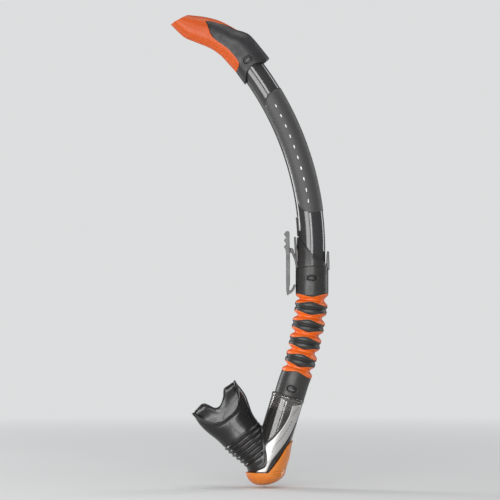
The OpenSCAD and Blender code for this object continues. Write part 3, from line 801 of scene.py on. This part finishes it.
def build_hose():
    columns = 128
    edge = web_edge(turn(columns))
    for k, groove in enumerate(grooves):
        above, below = Place(groove, -leans[k]), Place(groove, -leans[k + 1])

        def bent(x, y, z, above=above, below=below):
            share = smooth(WEB_BEND, -WEB_BEND, z)[..., None]
            return above.out(x, y, z) * (1 - share) + below.out(x, y, z) * share
        shift = EDGE_SHIFT[k]
        rings = hose_rings(edge + shift, shift - edge, 46,
                           lambda z, k=k: groove_radius(np.abs(z)) * taper(k - z / pitch), bent)
        web = skin(f"flex_web_{k + 1}_soft", rings, WEB)
        ends = above.out(0, 0, WEB_BEND), below.out(0, 0, -WEB_BEND)
        finish_soft(web, f"flex_web_{k + 1}")
    for k in range(1, 5):
        place = Place(grooves[k - 1], -leans[k])
        top = EDGE_SHIFT[k - 1] - edge - GAP
        foot = EDGE_SHIFT[k] + edge + GAP - pitch
        rings = hose_rings(top, foot, 60, lambda z, k=k: ring_radius(z) * taper(k - 1 - z / pitch), place.out)
        ring = skin(f"flex_ring_{k}_soft", rings, CUFF)
        finish_piece(ring, f"ring_{k}", "cuff_grey", f"flex_ring_{k}")


# ---- cuffs

CUFF_BORE = 12.95
CUFF_WINDOW = -7.0
LOWER_WINDOW = -21.0  # from the last groove
CUFF_RECESS = (5.4, 2.4, 1.7)  # each window's half width, half height and depth
LOWER_RECESS = (5.2, 3.1, 1.8)
LOWER_R = 14.5
EDGE_R = 15.5  # the cuffs' radius beside their groove
PLUG_R = 12.6  # the lower cuff's plug, inside the chamber
# The plug's three ribs and its bead: [height from the chamber's top, half height, reach]
PLUG_RIBS = ((-2.8, 0.55, 1.1), (-5.6, 0.55, 1.1), (-8.4, 0.55, 1.1), (-11.9, 1.1, 1.0))


def cuff_shift(z):
    """How far the lower cuff has moved over to the chamber's axis."""
    return 0.5 * smooth(-4, -16, z)


def plain_radius(distance, r_max):
    """The groove's side running out into a plain cuff."""
    side = np.minimum(groove_radius(np.minimum(distance, 4.9)), EDGE_R)
    return side + (r_max - EDGE_R) * smooth(4, 8, distance)


def both_sides(angle, radius):
    """Distance round the cuff from its front or its back, whichever is nearer."""
    return (np.abs(signed(angle)) - math.pi / 2) * radius


def build_plug(angle):
    """Three ribs and a bead round the cuff's end inside the chamber, which show through its wall; they are a
    pale copy of the cuff's dark rubber, a painted highlight for the light on the ribs.
    """
    parts = []
    for place, half, reach in PLUG_RIBS:
        rings = []
        for a in turn(12):
            r, z = PLUG_R - 0.05 + reach * math.cos(a), CHAMBER_TOP + place + half * math.sin(a)
            rings.append(hose_end.ring(r, angle, z, 0.8))
        # the ribs take the pale painted-highlight material
        parts.append(skin("rib", rings, PLUG_HIGHLIGHT))
    finish_piece(join("hose_plug_ribs", parts), "chamber", "lever_grey", "lower_cuff")


def build_cuffs():
    angle = turn(256)
    first = grooves[0][2]
    top = wave(CUFF_R * np.sin(angle), -GAP)
    bottom = first + web_edge(angle) + EDGE_SHIFT[0] + GAP

    def sink(a, z):
        return recess(both_sides(a, CUFF_R), z - CUFF_WINDOW, *CUFF_RECESS)
    cuff = upright_shell("upper_cuff_shell", top, bottom, lambda z: plain_radius(z - first, CUFF_R),
                         CUFF_BORE, 90, CUFF, sink)
    finish_piece(cuff, "barrel", "cuff_grey", "upper_cuff")
    for side, name in SIDES:
        def surface(u, v, lift, side=side):
            turn_by = u / CUFF_R
            r = CUFF_R - 1.6 + lift
            return stem.out(r * np.sin(turn_by), side * r * np.cos(turn_by), CUFF_WINDOW + v)
        finish_piece(pill(f"cuff_lug_{name}", surface, 3.7, 1.3, 1.1, KEEPER), "barrel", "rubber_dark")

    rings, shade = [], []
    top = EDGE_SHIFT[4] - web_edge(angle) - GAP
    for z, inset in edge_rows(top, CHAMBER_TOP + 0.1, 90, 0.6, 0.35):
        sunk = recess(both_sides(angle, LOWER_R), z - LOWER_WINDOW, *LOWER_RECESS)
        r = plain_radius(-z, LOWER_R / taper(5)) * taper(4 - z / pitch) - inset - sunk
        rings.append(hose_end.ring(r, angle, z, cuff_shift(z)))
        shade.append(sunk)
    plug = [(PLUG_R, 0.0), (PLUG_R, -13.6), (PLUG_R - 0.6, -14.2), (AIR_BORE + 0.2, -14.2), (AIR_BORE, 0),
            (AIR_BORE, 20)]
    for r, z in plug:
        rings.append(hose_end.ring(r, angle, CHAMBER_TOP + z))
        shade.append(0 * angle)
    cuff = skin("lower_cuff_shell", rings, CUFF)
    # the window depth stored as sunk becomes painted shade in the window recess
    paint(cuff, "sunk", shade)
    finish_piece(cuff, "chamber", "cuff_grey", "lower_cuff")
    build_plug(angle)
    for side, name in SIDES:
        parts = []
        for centre, half_u, half_v in ((LOWER_WINDOW - 0.7, 3.3, 1.1), (LOWER_WINDOW - 4.4, 0.65, 3.0)):
            def surface(u, v, lift, side=side, centre=centre):
                turn_by = u / LOWER_R
                up = centre + v
                r = LOWER_R - 1.0 + lift + 0.9 * smooth(-2.4, -3.4, up - LOWER_WINDOW)
                return hose_end.out(r * np.sin(turn_by) - cuff_shift(up), side * r * np.cos(turn_by), up)
            parts.append(pill("key", surface, half_u, half_v, 0.85, LEVER))
        finish_piece(join(f"chamber_key_{name}", parts), "chamber", "lever_grey")


# ---- drain chamber

CHAMBER_WALL = 1.7
PORT_HALF = (15.6, 14.2)  # half the port's width and depth
SEAM_HEIGHT = 23.5  # the chamber's skin on the port's axis
SEAM_SLOPE = math.tan(math.radians(31))
SPIGOT = (5.0, SEAM_HEIGHT + 7)  # the port's foot and top on its axis


def to_rim(radius, angle, level):
    """Height in the chamber's frame where a column of this radius meets a level plane."""
    x = radius * np.cos(angle)
    return (level - chamber.origin[2] - x * chamber.x_axis[2]) / chamber.z_axis[2]


def build_chamber():
    angle = turn(160)
    rings = []
    foot = to_rim(CHAMBER_R, angle, rim_z)
    bead = [(0.0, -0.9), (0.0, -0.4), (-0.35, 0.15), (-1.2, 0.45), (-2.4, 0.45), (-3.0, 0.2), (-3.6, 0)]
    for z, grow in bead:
        rings.append(chamber.ring(CHAMBER_R + grow, angle, z))
    bead_foot = bead[-1][0]
    for t in np.linspace(0, 1, 60)[1:]:
        rings.append(chamber.ring(CHAMBER_R, angle, bead_foot + (foot - bead_foot) * t))
    r_in = CHAMBER_R - CHAMBER_WALL
    inner_foot = to_rim(r_in, angle, rim_z)
    for t in np.linspace(1, 0, 30):
        rings.append(chamber.ring(r_in, angle, -0.6 + (inner_foot + 0.6) * t))
    tube = skin("chamber_tube", rings, SMOKE)
    # painted lightening: the top band of the wall is tinted paler so the plug's painted rib highlights show
    # through
    paint(tube, "pale", smooth(-17, -11, chamber.into(rings)[2]))
    c, s = np.cos(angle), np.sin(angle)
    rings = []
    for wall, span in ((0, SPIGOT), (CHAMBER_WALL, SPIGOT[::-1])):
        half_x, half_y = PORT_HALF[0] - wall, PORT_HALF[1] - wall
        for height in np.linspace(*span, 13):
            rings.append(port.out(half_x * c, half_y * s, height + SEAM_SLOPE * half_x * c))
    spigot = skin("chamber_spigot", rings, SMOKE)
    finish_piece(join("drain_chamber_shell", [tube, spigot]), "chamber", "chamber_smoke", "drain_chamber")


# Edges of the silver inlay in side view, from its top to the rim
TRIM_LEFT = np.array([[2.4, -127.6], [-1.2, -138.6], [-8, -149.6], [-16.5, -159.4], [-23.4, -165.5],
                      [-24.6, -175.5], [-27.5, -183.5], [-32.0, -190.9]])
TRIM_RIGHT = np.array([[11.3, -127.6], [7.7, -138.4], [2.2, -151.2], [-4.0, -162], [-11.2, -171.6],
                       [-17.6, -180], [-22.6, -190.9]])


def on_chamber(x, z, lift, side):
    """The point of the chamber's skin seen at x and z from the side."""
    flat = np.stack(np.broadcast_arrays(x, 0.0, z), -1)
    across, _, up = chamber.into(flat)
    r = CHAMBER_R + lift
    return chamber.out(across, side * np.sqrt(np.maximum(r * r - across * across, 0.01)), up)


def band_point(t, u):
    """A place on the inlay: t down its length, u from its left to its right edge."""
    left, right = along(TRIM_LEFT, t), along(TRIM_RIGHT, t)
    return left + (right - left) * np.asarray(u, float)[..., None]


def ribbon(name, side, left, right, span):
    """Thin dark strip on the chamber between two edges given as fractions of the inlay's width."""
    cross = [(0, -0.5), (0, 0.1), (0.12, 0.16), (0.5, 0.18), (0.88, 0.16), (1, 0.1), (1, -0.5)]
    share, lift = np.array(cross).T
    rings = []
    for t in np.linspace(*span, 50):
        x, z = band_point(t, left(t) + (right(t) - left(t)) * share).T
        rings.append(on_chamber(x, z, lift, side))
    return skin(name, rings, INNER, loop=False)


def build_trim():
    lips = [(0.0, -0.5), (0.0, 0.12), (0.02, 0.28), (0.07, 0.36)]
    cross = lips + [(u, 0.38) for u in np.linspace(0.14, 0.86, 9)] + [(1 - u, h) for u, h in reversed(lips)]
    across, lift = np.array(cross).T
    for side, name in SIDES:
        rings = []
        for t in np.linspace(0, 1, 70):
            x, z = band_point(t, across).T
            rings.append(on_chamber(x, z, np.minimum(lift, 0.1) if t in (0, 1) else lift, side))
        plate = skin(f"trim_{name}", rings, SILVER, loop=False)
        finish_piece(plate, "chamber", "trim_silver", "chamber_trim")
        border = ribbon(f"trim_border_{name}", side, lambda t: -0.03 - 0.2 * np.sin(math.pi * t / 0.7) ** 0.7,
                        lambda t: -0.01, (0.0, 0.68))
        stripe = ribbon(f"trim_stripe_{name}", side, lambda t: 1.01,
                        lambda t: 1.12 + 0.28 * smooth(0.35, 0.8, t), (0.25, 0.97))
        finish_piece(join(f"trim_edging_{name}", [border, stripe]), "chamber", "inner_dark", "chamber_trim")
        lines = []
        for t0, u0, length in ((0.035, 0.2, 0.09), (0.055, 0.2, 0.09), (0.075, 0.2, 0.09),
                               (0.80, 0.3, 0.1), (0.825, 0.3, 0.1)):
            def surface(u, v, lift, side=side, t0=t0, u0=u0, length=length):
                flat = band_point(np.clip(t0 + 0.035 - length * u * 0.5 + v, 0, 1), u0 + 0.3 * (1 + u))
                return on_chamber(flat[..., 0], flat[..., 1], 0.36 + lift, side)
            lines.append(pill("line", surface, 1.0, 0.0022, 0.07, INNER))
        for i in range(13):
            def surface(u, v, lift, side=side, i=i):
                spot = band_point(0.22 + 0.036 * i, 0.55)
                return on_chamber(spot[0] + u - 0.6 * v, spot[1] + v + 0.6 * u, 0.36 + lift, side)
            lines.append(pill("dot", surface, 0.66, 0.36, 0.07, INNER, 2.0))
        finish_piece(join(f"trim_lines_{name}", lines), "chamber", "inner_dark")


# ---- purge cover

COVER_DEPTH = 12.6
COVER_LIFT = 1.4  # how far the cover stands out at its upper edge
COVER_FLARE = 1.4  # and how much further at the rim
COVER_CLEAR = 0.15  # between the cover's inner wall and the chamber's skin
# The slanting upper edge of the cover's shield in side view, from the rim up
SHIELD = np.array([[-20.6, -191.4], [-16.6, -187.2], [-8.4, -177.2], [-1.8, -166.4], [2.9, -161.6]])


def axis_x(z):
    """The chamber axis's x at a height of the row frame."""
    return chamber.origin[0] + (z - chamber.origin[2]) * chamber.z_axis[0] / chamber.z_axis[2]


def cover_lift(z):
    """How far the cover stands out from the chamber's skin."""
    return COVER_LIFT + COVER_FLARE * smooth(28, 12, z - rim_z)


def cover_point(z, angle, inset):
    """The cover's skin: the chamber's oval above the rim, closing to a bowl below it."""
    down = np.clip((rim_z - z) / COVER_DEPTH, 0, 1)
    shrink = np.sqrt(np.maximum(1 - down ** 1.75, 0))
    lobes = 1 + 0.02 * np.cos(13 * angle) * smooth(0.3, 0.75, down)
    lift = cover_lift(z)
    rx = (CHAMBER_R / chamber.z_axis[2] + lift - inset) * shrink * lobes
    ry = (CHAMBER_R + lift - inset) * shrink * lobes
    middle = axis_x(np.maximum(z, rim_z)) + 0.25 * (lift - COVER_LIFT) - 3.4 * down ** 2
    x = middle + rx * np.cos(angle)
    return np.stack(np.broadcast_arrays(x, ry * np.sin(angle), z), -1)


def shield_edge(angle):
    """Height of the cover's upper edge per column: the rim, or the slanting line of the shield."""
    def behind_line(z):
        return cover_point(z, angle, 0.0)[:, 0] > np.interp(z, SHIELD[:, 1], SHIELD[:, 0], right=60)
    return np.maximum(last_inside(rim_z, SHIELD[-1, 1] + 4, behind_line), rim_z + 0.05)


def crease_depth(z, angle):
    """How deep three curved creases sink into each flank, towards the back of the cover."""
    level = (rim_z - z) + 4.2 * np.cos(angle)
    lines = sum(np.exp(-((level - place) / 0.42) ** 2) for place in (1.2, 3.6, 6.0))
    degrees = np.degrees(np.abs(signed(angle)))
    return 0.7 * lines * smooth(8, 20, degrees) * smooth(74, 60, degrees)


def build_cover():
    angle = turn(224)
    edge = shield_edge(angle)
    steps = np.linspace(0, 1, 90)[1:-1] ** 1.6
    outer, inner = [], []
    for z, inset in ((edge, 1.2), (edge - 0.04, 0.6), (edge - 0.2, 0.15), (edge - 0.5, 0.0)):
        outer.append(cover_point(z, angle, inset))
    for t in np.linspace(0, 1, 46)[1:]:
        z = edge - 0.5 + (rim_z - edge) * t
        outer.append(cover_point(z, angle, crease_depth(z, angle)))
    for step in steps:
        z = rim_z - 0.5 - (COVER_DEPTH - 0.52) * step
        outer.append(cover_point(z, angle, crease_depth(z, angle)))
    # The inner rings start at the rim's height, where a lid closes the bowl, and run down the bowl
    for step in steps:
        z = rim_z - 0.5 - (COVER_DEPTH - 2.6) * step
        inner.append(cover_point(z, angle, cover_lift(z) - COVER_CLEAR) + np.array([0, 0, 0.4]))
    for t in np.linspace(1, 0, 12):
        z = edge - 0.3 + (rim_z - edge) * t
        inner.append(cover_point(z, angle, cover_lift(z) - COVER_CLEAR))
    cover = skin("purge_cover_shell", [*outer, *close_floor(outer[-1], inner[0]), *inner], AMBER)
    finish_piece(cover, "chamber", "cover_amber", "purge_cover")


def close_floor(outer_ring, inner_ring):
    """Rings in to the centre of outer_ring, and out again to inner_ring."""
    outer_centre, inner_centre = outer_ring.mean(0), inner_ring.mean(0)
    shares = (0.6, 0.25, 0.02)
    rings = [outer_centre + (outer_ring - outer_centre) * share for share in shares]
    return rings + [inner_centre + (inner_ring - inner_centre) * share for share in reversed(shares)]


# ---- mouthpiece

NECK_FOOT, NECK_TOP = 10.0, 41.0
NECK_REACH = 16.4  # to the left of the port's axis, at the neck's foot
BEND_X = -8  # where the neck bends, across the port
RIB_FIRST, RIB_PITCH, RIBS = 14.6, 4.7, 6
SOFT_POWER = 2.15  # how square the neck's and the mouthpiece's ovals are
# Sections of the mouthpiece in the port's frame:
# [height, left, right, half depth, how far front and back fall]
SECTIONS = np.array([
    [41, -21.5, 18.9, 15.9, 0], [46, -22.0, 19.0, 15.4, 0.4], [52, -23.0, 20.2, 15.1, 1.6],
    [59, -24.8, 22.6, 15.0, 4.6], [67, -26.3, 25.0, 14.9, 10], [75, -26.5, 25.6, 14.8, 16.5],
    [84.3, -25.4, 25.0, 15.4, 23]])
# Upper edge of the bite wings in the port's frame, from left to right
WINGS = np.array([[-24.9, 84.4], [-21.4, 85.2], [-17.6, 85.8], [-13.4, 86.2], [-10.4, 84.9], [-8.2, 81.4],
                  [-6.0, 76.6], [-2.8, 74.4], [1.2, 75.0], [4.8, 77.3], [8.2, 80.2], [10.8, 83.4],
                  [13.2, 84.9], [18.0, 84.6], [21.8, 84.4], [24.3, 84.2]])


def neck_half(z):
    """Left reach, right reach and half depth of the neck at a height in the port's frame."""
    t = smooth(NECK_FOOT, NECK_TOP, z)
    return NECK_REACH + 5.1 * t, 17.4 + 1.5 * t, 15.2 + 0.7 * t


def neck_point(z, angle, grow):
    """The neck without its ribs, grown outwards by grow."""
    left, right, deep = neck_half(z)
    c, s = oval(angle, SOFT_POWER)
    return port.out((right - left) / 2 + ((right + left) / 2 + grow) * c, (deep + grow) * s, z)


def rib_lift(z):
    """Sharp ribs with rounded valleys between them."""
    place = (z - RIB_FIRST) / RIB_PITCH
    shown = smooth(-0.7, -0.3, place) * smooth(RIBS + 0.3, RIBS - 0.6, place)
    return 1.25 * shown * (np.abs(np.cos(math.pi * place)) ** 4 - 0.3)


def neck_skin(z, angle, contact):
    """The neck's outer face: a small flare at the chamber, then the ribs."""
    flare = 1.0 * smooth(3.4, 0.4, z - contact) ** 1.5
    return neck_point(z, angle, flare + rib_lift(z) * smooth(2.0, 8.0, z - contact))


def collar_contact(angle):
    """Height where the neck's skin meets the chamber's, per column."""
    def in_chamber(z):
        across, y, _ = chamber.into(neck_point(z, angle, 0.0))
        return np.hypot(across, y) < CHAMBER_R
    return last_inside(0.0, 45.0, in_chamber)


def seam_height(angle):
    """Height of the seam between the mouthpiece's collar and the ribbed neck."""
    left, right, _ = neck_half(25.0)
    return SEAM_HEIGHT + 4.4 + SEAM_SLOPE * (right + left) / 2 * np.cos(angle)


def neck_shell(name, start, end, steps, inner_rows, wall, contact):
    """Closed shell of the neck between two edges given per column."""
    angle = turn(160)
    outer = [neck_skin(start + (end - start) * t, angle, contact) for t in steps]
    inner = [neck_point(start + (end - start) * t, angle, -wall) for t in np.linspace(1, 0, inner_rows)]
    return skin(name, outer + inner, SILICONE)


def build_neck():
    angle = turn(160)
    seam = seam_height(angle)
    contact = np.minimum(collar_contact(angle), seam - 1.2)
    floor = (rim_z - port.origin[2] - NECK_REACH * port.x_axis[2] * np.cos(angle)) / port.z_axis[2]
    foot = np.maximum(contact - 1.6, floor + 0.2)
    steps = [*np.linspace(0, 1, 90)[:-1], 0.999, 1]
    collar = neck_shell("mouthpiece_collar_soft", foot, seam, steps, 10, 1.5, contact)
    finish_piece(collar, "chamber", "silicone_smoke", "mouthpiece_collar")
    steps = [0, 0.001, *np.linspace(0, 1, 130)[1:-1], 0.999, 1]
    bellows = neck_shell("mouthpiece_bellows_soft", seam, NECK_TOP, steps, 12, 1.7, contact)
    ends = port.out(BEND_X, 0, seam.mean()), port.out(BEND_X, 0, NECK_TOP - 0.5)
    finish_soft(bellows, "mouthpiece_bellows")


def mouth_point(t, angle, inset):
    """The mouthpiece's skin; t runs from the neck to the rim, which follows the teeth's arch."""
    value = along(SECTIONS, t)
    height, left, right, deep, fall = (value[..., k] for k in range(5))
    c, s = oval(angle, SOFT_POWER)
    x = (left + right) / 2 + ((right - left) / 2 - inset) * c
    return port.out(x, (deep - inset) * s, height - fall * (1 - np.abs(np.cos(angle)) ** 3))


def build_mouthpiece():
    angle = turn(192)
    outer = [mouth_point(t, angle, -0.9 * smooth(0.9, 1.0, t)) for t in np.linspace(0, 1, 90)]
    lip = [mouth_point(1.0, angle, inset) + 0.55 * up * port.z_axis
           for inset, up in ((-0.75, 0.6), (-0.3, 1.0), (0.4, 1.0), (1.0, 0.6), (1.2, 0.0))]
    inner = [mouth_point(t, angle, 1.5 + 0.5 * smooth(1.0, 0.8, t)) for t in np.linspace(0.985, 0.02, 50)]
    flange = skin("mouthpiece_flange_soft", outer + lip + inner, SILICONE)

    columns = np.linspace(0, 1, 90)
    edge = along(WINGS, columns)
    around = turn(44)
    c, s = oval(around, 3.2)
    rings = []
    for u, (x, top) in zip(columns, edge):
        foot = 57 + 9 * abs((x + 0.5) / 25) ** 2.5
        middle, half = (top + foot) / 2, (top - foot) / 2
        ends = max(0.15, 1 - abs(2 * u - 1) ** 40)
        z = middle + half * s * ends ** 0.2
        wing = np.exp(-((abs(x + 0.5) - 16) / 7.5) ** 2)
        thick = 2.3 + 2.0 * wing * smooth(middle + 0.1 * half, middle + 0.75 * half, z) \
            + 1.6 * smooth(middle, middle - half, z)
        rings.append(port.out(x, thick * c * ends, z))
    bite = skin("mouthpiece_bite", rings, SILICONE, loop=False)
    finish_piece(join("mouthpiece_soft", [flange, bite]), "mouthpiece", "silicone_smoke", "mouthpiece")


# ---- nodes kept from the design

def dress(node, material):
    """Gives a hidden CAD node one of this scene's materials."""
    mesh = frame["nodes"][node].data
    mesh.materials.clear()
    mesh.materials.append(material)


build_barrel()
build_guard()
build_keeper()
build_hose()
build_cuffs()
build_chamber()
build_trim()
build_cover()
build_neck()
build_mouthpiece()
dress("splash_baffle", INNER)
dress("valve_seat", INNER)
dress("purge_valve", SILICONE)


# ---- stage

FRAME_WIDTH = 475.0  # millimetres that the picture spans at the object
VIEW_CENTRE = np.array((-37.9, 0, 19.5))
CAMERA_DISTANCE = 3000.0
SENSOR = 36.0
BACKDROP = (0.72, 0.73, 0.735)  # pale grey behind the object
FLOOR_GAP = 0.002  # metres between the object's lowest point and the floor
FLOOR_REACH = 9.0  # half the floor's width, in metres
FLOOR_FADE = (0.2, 1.3)  # metres from the middle over which it fades


def add_floor():
    """Pale floor under the object that fades into the backdrop's colour far away."""
    mesh = bpy.data.meshes.new("floor")
    corners = [(x * FLOOR_REACH, y * FLOOR_REACH, cad_bounds[0][2] - FLOOR_GAP)
               for x, y in ((-1, -1), (1, -1), (1, 1), (-1, 1))]
    mesh.from_pydata(corners, [], [(0, 1, 2, 3)])
    look = Look("floor_pale", (0.66, 0.66, 0.655), 0.8)
    look.vary("Roughness", 3, 0.7, 0.9)
    length = look.add("VectorMath")
    length.operation = "LENGTH"
    look.links.new(look.coords.outputs["Object"], length.inputs[0])
    glow = look.add("Emission", Color=(*BACKDROP, 1))
    far = look.ramp(length.outputs["Value"], 0, 1, *FLOOR_FADE)
    blend = look.add("MixShader", Fac=look.times(far, look.add("LightPath").outputs["Is Camera Ray"]))
    look.links.new(look.shader.outputs[0], blend.inputs[1])
    look.links.new(glow.outputs[0], blend.inputs[2])
    look.fill(look.nodes["Material Output"], Surface=blend.outputs[0])
    mesh.materials.append(look.material)
    new_object("floor", mesh)


def add_softbox(name, place, target, size, power):
    """Soft rectangular lamp that faces its target; places are in metres."""
    light = bpy.data.lights.new(name, "AREA")
    light.shape = "RECTANGLE"
    light.size, light.size_y = size
    light.energy = power
    obj = new_object(name, light)
    obj.location = place
    obj.rotation_euler = (Vector(target) - Vector(place)).to_track_quat("-Z", "Y").to_euler()


def add_world():
    """The camera sees a pale backdrop, and the object is lit by a dimmer one."""
    world = bpy.data.worlds.new("studio")
    world.use_nodes = True
    nodes, links = world.node_tree.nodes, world.node_tree.links
    seen = nodes["Background"]
    seen.inputs["Color"].default_value = (*BACKDROP, 1)
    unseen = nodes.new("ShaderNodeBackground")
    unseen.inputs["Color"].default_value = (0.9, 0.94, 1.0, 1)
    unseen.inputs["Strength"].default_value = 0.2
    path = nodes.new("ShaderNodeLightPath")
    blend = nodes.new("ShaderNodeMixShader")
    links.new(path.outputs["Is Camera Ray"], blend.inputs[0])
    links.new(unseen.outputs[0], blend.inputs[1])
    links.new(seen.outputs[0], blend.inputs[2])
    links.new(blend.outputs[0], nodes["World Output"].inputs["Surface"])
    bpy.context.scene.world = world


def add_stage():
    bpy.context.scene.view_settings.view_transform = "Standard"
    add_floor()
    add_world()
    middle = (-0.03, 0, 0.02)
    add_softbox("key", (-0.01, -1.5, 0.1), middle, (0.36, 1.2), 12)
    add_softbox("low_left", (-0.35, -0.6, -0.07), middle, (0.42, 0.34), 3.0)
    add_softbox("top", (0.1, -0.1, 1.4), (0, -0.1, 0), (1.2, 1.2), 10)
    add_softbox("rim_left", (-1.0, 0.55, 0.25), middle, (0.25, 1.2), 8)
    add_softbox("rim_right", (0.95, 0.55, 0.3), middle, (0.25, 1.2), 4)
    add_camera()


def add_camera():
    """Looks along +Y from far away, so that the side view has almost no perspective."""
    camera = bpy.data.cameras.new("camera")
    camera.sensor_width = SENSOR
    camera.lens = SENSOR * CAMERA_DISTANCE / FRAME_WIDTH
    camera.clip_end = 50
    obj = new_object("camera", camera)
    obj.location = (VIEW_CENTRE - (0, CAMERA_DISTANCE, 0)) * MM
    obj.rotation_euler = (math.pi / 2, 0, 0)
    bpy.context.scene.camera = obj


add_stage()
